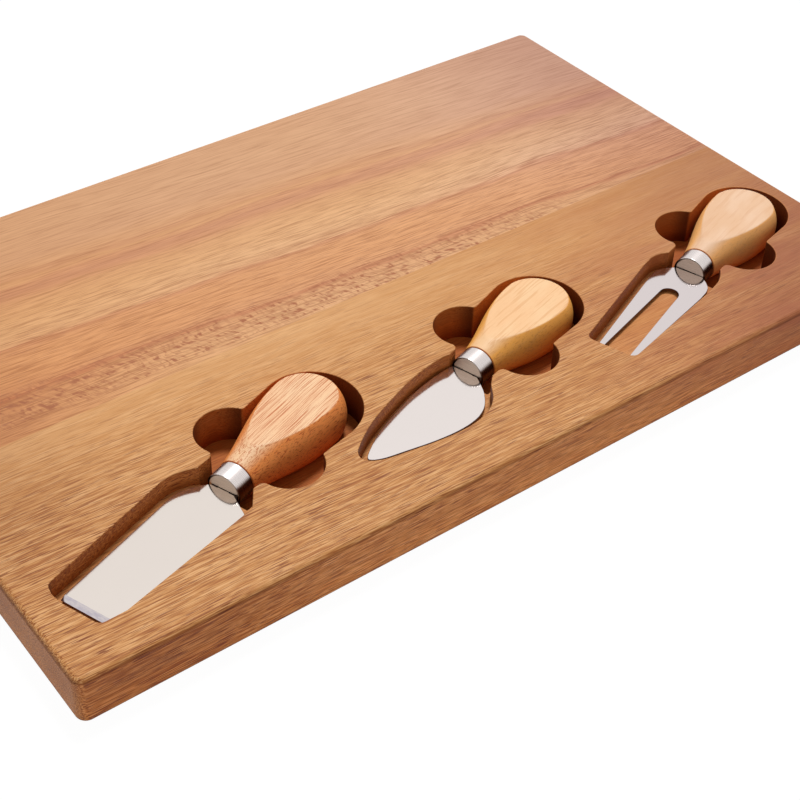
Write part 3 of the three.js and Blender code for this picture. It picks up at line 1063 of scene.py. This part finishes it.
def latheTree():
    # turns a profile, drawn in X and Y, about the X axis and saws a flat off above and below
    tree = bpy.data.node_groups.new("turnedPiece", "GeometryNodeTree")
    for name, kind in (
            ("Profile", "Geometry"), ("Segments", "Int"), ("Upper Flat", "Float"),
            ("Lower Flat", "Float"), ("Arris", "Float"), ("Material", "Material")):
        tree.interface.new_socket(name, in_out="INPUT", socket_type=f"NodeSocket{kind}")
    tree.interface.new_socket("Geometry", in_out="OUTPUT", socket_type="NodeSocketGeometry")
    graph = Graph(tree)
    profile = graph.node("NodeGroupInput", output="Profile")
    segments = profile.also("Segments")
    points = graph.node("GeometryNodeAttributeDomainSize", {"component": "MESH"}, [profile])
    grid = graph.node("GeometryNodeMeshGrid", {}, {
        "Size X": 1, "Size Y": 1, "Vertices X": points, "Vertices Y": segments + 1})
    index = graph.node("GeometryNodeInputIndex")
    ring = (index / (segments + 1)).maths("FLOOR")
    step = index - ring * (segments + 1)
    place = graph.node("GeometryNodeInputPosition")
    sample = graph.node("GeometryNodeSampleIndex", {"data_type": "FLOAT_VECTOR"}, {
        "Geometry": profile, "Value": place, "Index": ring})
    along = graph.node("ShaderNodeSeparateXYZ", {}, [sample])
    radius = along.also("Y")
    angle = step / segments * (2 * math.pi)
    across = radius * angle.maths("COSINE")
    rise = radius * angle.maths("SINE")
    above = rise.maths("GREATER_THAN", 0)
    flat = above * profile.also("Upper Flat") + (1 - above) * profile.also("Lower Flat")
    height = rise.maths("ABSOLUTE").maths("SMOOTH_MIN", flat, profile.also("Arris"))
    height = height.maths("MINIMUM", rise.maths("ABSOLUTE")) * rise.maths("SIGN")
    target = graph.node("ShaderNodeCombineXYZ", {}, [along, across, height])
    shaped = graph.node("GeometryNodeSetPosition", {}, {"Geometry": grid, "Position": target})
    merged = graph.node("GeometryNodeMergeByDistance", {}, {"Geometry": shaped, "Distance": mergeGap})
    smooth = graph.node("GeometryNodeSetShadeSmooth", {}, {"Geometry": merged})
    real = graph.node("GeometryNodeRealizeInstances", {}, {"Geometry": smooth})
    finished = graph.node("GeometryNodeSetMaterial", {}, {
        "Geometry": real, "Material": profile.also("Material")})
    graph.node("NodeGroupOutput", {}, [finished])
    return tree


def lathed(name, profile, material, segments, flats, arris, toolName):
    points = [(along * mm, radius * mm, 0) for along, radius in profile]
    piece = meshObject(name, points, [], material)
    modifier = piece.modifiers.new("turning", "NODES")
    modifier.node_group = turnedPiece
    inputs = {"Segments": segments, "Lower Flat": flats[0] * mm, "Upper Flat": flats[1] * mm,
              "Arris": arris * mm, "Material": material}
    for item in turnedPiece.interface.items_tree:
        if item.item_type == "SOCKET" and item.name in inputs:
            modifier[item.identifier] = inputs[item.name]
    applied(piece)
    piece.data.transform(toolMatrix(toolName))
    faceOutwards(piece)
    return piece


def toolMatrix(toolName, skew=0):
    start, turn = toolPlace(toolName)
    move = Matrix.Translation(Vector((start[0], start[1], bladeHeight)) * mm)
    return move @ Matrix.Rotation(math.radians(turn + skew), 4, "Z")


def faceOutwards(piece):
    shape = bmesh.new()
    shape.from_mesh(piece.data)
    bmesh.ops.remove_doubles(shape, verts=shape.verts, dist=weldGap)
    bmesh.ops.recalc_face_normals(shape, faces=shape.faces)
    shape.to_mesh(piece.data)
    shape.free()


def handleProfile(tool):
    headCentre = handle["headDistance"] - tool["headTrim"]
    neckStart = ferrule["length"] + handle["seamGap"]
    t = np.linspace(0, 1, handle["taperSteps"] + 1)[:, None]
    controls = np.array([
        (neckStart, handle["neckRadius"]),
        (neckStart + handle["neckReach"], handle["neckRadius"] + handle["neckSwell"]),
        (headCentre - handle["headReach"], handle["radius"]),
        (headCentre, handle["radius"])])
    taper = ((1 - t) ** 3 * controls[0] + 3 * t * (1 - t) ** 2 * controls[1]
             + 3 * t ** 2 * (1 - t) * controls[2] + t ** 3 * controls[3])
    bend = handle["shoulderRound"]
    shoulder = arc(
        neckStart + bend, handle["neckRadius"] - bend, bend, math.pi, math.pi / 2, handle["shoulderSteps"])
    head = arc(headCentre, 0, handle["radius"], math.pi / 2, 0, handle["headSteps"])
    return [
        (handle["boreDepth"], 0), (handle["boreDepth"], handle["boreRadius"]),
        (handle["tenonStart"], handle["boreRadius"]), (handle["tenonStart"], handle["tenonRadius"]),
        (neckStart, handle["tenonRadius"]), *shoulder, *taper[3:], *head[1:-1],
        (headCentre + handle["radius"], 0)]


def ferruleProfile():
    rim = ferrule["edgeRound"]
    radius, length = ferrule["radius"], ferrule["length"]
    disc, sink = ferrule["discRadius"], ferrule["discSink"]
    inner = radius - ferrule["wall"]
    tail = ferrule["tailRound"]
    return [
        (sink, 0), (sink, disc - ferrule["grooveWidth"]), (ferrule["grooveSink"], disc),
        *arc(rim, radius - rim, rim, math.pi, math.pi / 2, ferrule["edgeSteps"]),
        *arc(length - tail, radius - tail, tail, math.pi / 2, 0, ferrule["tailSteps"]),
        (length, inner), (ferrule["endWall"], inner), (ferrule["endWall"], 0)]


def slab(name, low, high, material):
    corners = np.array([(x, y, z) for z in (low[2], high[2]) for x, y in (
        (low[0], low[1]), (high[0], low[1]), (high[0], high[1]), (low[0], high[1]))], float)
    return loft(name, [corners[:4], corners[4:]], material)


def bladePiece(toolName, material):
    tool = tools[toolName]
    half = blade["thickness"] / 2
    outline = outlines[toolName](tool, False)
    if signedArea(outline) < 0:
        outline = outline[::-1]
    # the tang runs on from the blade's root, between the outline's two root points
    width = blade["tangWidth"] / 2
    roots = [i for i, point in enumerate(outline) if math.isclose(point[0], -blade["gap"])]
    outline = np.roll(outline, 0 if roots[1] > roots[0] + 1 else -roots[1], axis=0)
    outline = np.concatenate([outline, [
        (-blade["gap"], -width), (blade["tangLength"], -width),
        (blade["tangLength"], width), (-blade["gap"], width)]])
    piece = loft(f"{toolName}Blade", [raised(outline, -half), raised(outline, half)], material)
    if tool.get("bevelLength"):
        # a wedge of waste, ground off the upper side of the cutting end
        edge, run, over = -tool["bladeLength"], tool["bevelLength"], pocket["overrun"]
        low = tool["edgeThickness"] - half
        wedge = [(edge + run * (1 + over), half + (half - low) * over),
                 (edge, low), (edge - over, low), (edge - over, half + over)]
        reach = tool["heelReach"] + over
        rings = [np.array([(x, y, z) for x, z in wedge]) for y in (-reach, reach)]
        cutAway(piece, [loft("grind", rings, material)])
    bevel = piece.modifiers.new("edges", "BEVEL")
    bevel.width = blade["edgeRound"] * mm
    bevel.segments = blade["bevelSteps"]
    bevel.limit_method = "ANGLE"
    bevel.angle_limit = math.radians(blade["bevelAngle"])
    applied(piece)
    evenShading(piece, blade["sharpAngle"])
    piece.data.transform(toolMatrix(toolName, tool["bladeSkew"]))
    return piece


def kept(piece, node, body):
    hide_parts(node)
    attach(piece, body)


bodies = {"chisel": "chisel_knife", "spade": "spade_knife", "fork": "cheese_fork"}

print("staves")
frontMaterial = frontStaveMaterial("frontStaveWood", False)
routedMaterial = frontStaveMaterial("routedWood", True)
frontStave = staveBody("frontStave", frontMaterial, False)
cutAway(frontStave, [cutter for toolName in tools for cutter in pocketCutters(toolName, routedMaterial)])
evenShading(frontStave, board["sharpAngle"])
kept(frontStave, "front_stave", "board")

rearStave = staveBody("rearStave", rearStaveMaterial("rearStaveWood"), True)
evenShading(rearStave, board["sharpAngle"])
kept(rearStave, "rear_stave", "board")

print("tools")
turnedPiece = latheTree()
for toolName, tool in tools.items():
    body = bodies[toolName]
    handlePiece = lathed(
        f"{toolName}Handle", handleProfile(tool), handleMaterial(toolName), handle["segments"],
        (handle["lowerFlat"], handle["upperFlat"][toolName]), handle["arris"][toolName], toolName)
    handlePiece.data.set_sharp_from_angle(angle=math.radians(handle["sharpAngle"]))
    kept(handlePiece, f"{toolName}_handle", body)

    polished = ferruleMaterial(toolName)
    ferrulePiece = lathed(
        f"{toolName}Ferrule", ferruleProfile(), polished, ferrule["segments"],
        (handle["radius"], handle["radius"]), ferrule["arris"], toolName)
    slot = slab("slot", (-pocket["overrun"], -ferrule["slotWidth"] / 2, -ferrule["slotHeight"] / 2),
                (pocket["overrun"], ferrule["slotWidth"] / 2, ferrule["slotHeight"] / 2), polished)
    slot.data.transform(toolMatrix(toolName))
    cutAway(ferrulePiece, [slot])
    evenShading(ferrulePiece, ferrule["sharpAngle"])
    kept(ferrulePiece, f"{toolName}_ferrule", body)

    kept(bladePiece(toolName, bladeMaterial(toolName)), f"{toolName}_blade", body)

print("floor, lamps and camera")
setting = {
    "floorSize": 6,
    "floorDrop": 0.0002,
    "floorColour": (0.9, 0.9, 0.9, 1),
    "white": (1, 1, 1, 1),
    "lampFrom": (0.3, 0.31, 0.902),
    "lampAngle": 14,
    "lampStrength": 2.2,
    "ambient": 0.36,
    "floorGlow": 0.94,
    "glow": 1.03,
}

floorMaterial, graph = newMaterial("paleFloor")
path = graph.node("ShaderNodeLightPath", output="Is Camera Ray")
seen = path.maths("MAXIMUM", path.also("Is Glossy Ray"))
plain = graph.node("ShaderNodeBsdfDiffuse", {}, {"Color": setting["floorColour"]})
glow = graph.node("ShaderNodeEmission", {}, {"Color": setting["white"], "Strength": setting["glow"]})
both = graph.node("ShaderNodeMixShader", {}, [seen * setting["floorGlow"], plain, glow])
graph.node("ShaderNodeOutputMaterial", {}, [both])
half = setting["floorSize"] / 2
corners = [(x * half, y * half, -setting["floorDrop"]) for x, y in ((-1, -1), (1, -1), (1, 1), (-1, 1))]
floor = meshObject("floor", corners, [(0, 1, 2, 3)], floorMaterial)

world = bpy.data.worlds.new("paleRoom")
bpy.context.scene.world = world
graph = emptyGraph(world)
path = graph.node("ShaderNodeLightPath", output="Is Camera Ray")
seen = path.maths("MAXIMUM", path.also("Is Glossy Ray")).maths("MAXIMUM", path.also("Is Transmission Ray"))
strength = setting["ambient"] + seen * (1 - setting["ambient"])
background = graph.node("ShaderNodeBackground", {}, {"Color": setting["white"], "Strength": strength})
graph.node("ShaderNodeOutputWorld", {}, [background])

lampData = bpy.data.lights.new("softbox", "SUN")
lampData.angle = math.radians(setting["lampAngle"])
lampData.energy = setting["lampStrength"]
lamp = bpy.data.objects.new("softbox", lampData)
lamp.location = setting["lampFrom"]
lamp.rotation_euler = (-lamp.location).to_track_quat("-Z", "Y").to_euler()
bpy.context.scene.collection.objects.link(lamp)

view = {
    "place": (-303.77, -415.86, 395.19),
    "right": (0.79789, -0.60224, 0.02599),
    "down": (-0.37572, -0.53058, -0.75981),
    "focalPixels": 1585.24,
    "imageWidth": 800,
    "sensorWidth": 36,
    "clipStart": 0.01,
}
cameraData = bpy.data.cameras.new("camera")
cameraData.sensor_width = view["sensorWidth"]
cameraData.sensor_fit = "HORIZONTAL"
cameraData.lens = view["focalPixels"] / view["imageWidth"] * view["sensorWidth"]
cameraData.clip_start = view["clipStart"]
camera = bpy.data.objects.new("camera", cameraData)
right = Vector(view["right"]).normalized()
up = -Vector(view["down"]).normalized()
back = right.cross(up).normalized()
up = back.cross(right)
turn = Matrix((right, up, back)).transposed().to_4x4()
camera.matrix_world = Matrix.Translation(Vector(view["place"]) * mm) @ turn
bpy.context.scene.collection.objects.link(camera)
bpy.context.scene.camera = camera
bpy.context.scene.view_settings.view_transform = "Standard"
